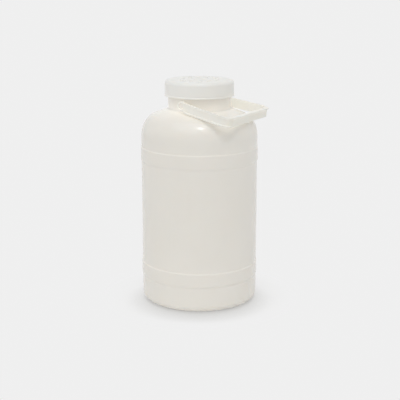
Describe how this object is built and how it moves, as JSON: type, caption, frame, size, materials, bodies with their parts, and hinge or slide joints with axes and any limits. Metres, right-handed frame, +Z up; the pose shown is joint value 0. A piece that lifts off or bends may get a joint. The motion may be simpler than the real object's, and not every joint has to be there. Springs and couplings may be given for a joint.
{
  "type": "reagent bottle",
  "caption": "Wide-mouth cylindrical plastic storage bottle with raised bands, a screw cap over a sealing plug, and a swinging carrying handle on neck pins.",
  "frame": {"origin": "centre of the foot, in the plane that the bottle stands on", "axes": "+Z up along the neck, +X towards the handle's grip at rest, Y along the two neck pins"},
  "size_m": [0.1668, 0.1668, 0.3185],
  "materials": {
    "bottle_polyethylene": "natural off-white high-density polyethylene, slightly translucent, satin blow-moulded skin",
    "cap_polypropylene": "natural white injection-moulded polypropylene, satin",
    "plug_soft_polyethylene": "milky soft low-density polyethylene, smooth",
    "handle_polyethylene": "white injection-moulded high-density polyethylene, satin"
  },
  "bodies": {
    "bottle": {"bottle_body": "bottle_polyethylene"},
    "plug": {"sealing_plug": "plug_soft_polyethylene"},
    "cap": {"screw_cap": "cap_polypropylene"},
    "handle": {"carry_handle": "handle_polyethylene"}
  },
  "joints": [
    {"name": "closure_lift", "type": "slide", "parent": "bottle", "child": "plug", "axis": [0, 0, 1], "range_m": [0, 0.03]},
    {"name": "cap_turn", "type": "hinge", "parent": "plug", "child": "cap", "pos_m": [0, 0, 0.3], "axis": [0, 0, 1], "range_deg": [0, 1800]},
    {"name": "handle_swing", "type": "hinge", "parent": "bottle", "child": "handle", "pos_m": [0, 0, 0.28564], "axis": [0, -1, 0], "range_deg": [0, 200]}
  ],
  "couplings": [
    {"joint": "closure_lift", "follows": "cap_turn", "m_per_rad": 0.00095493}
  ]
}
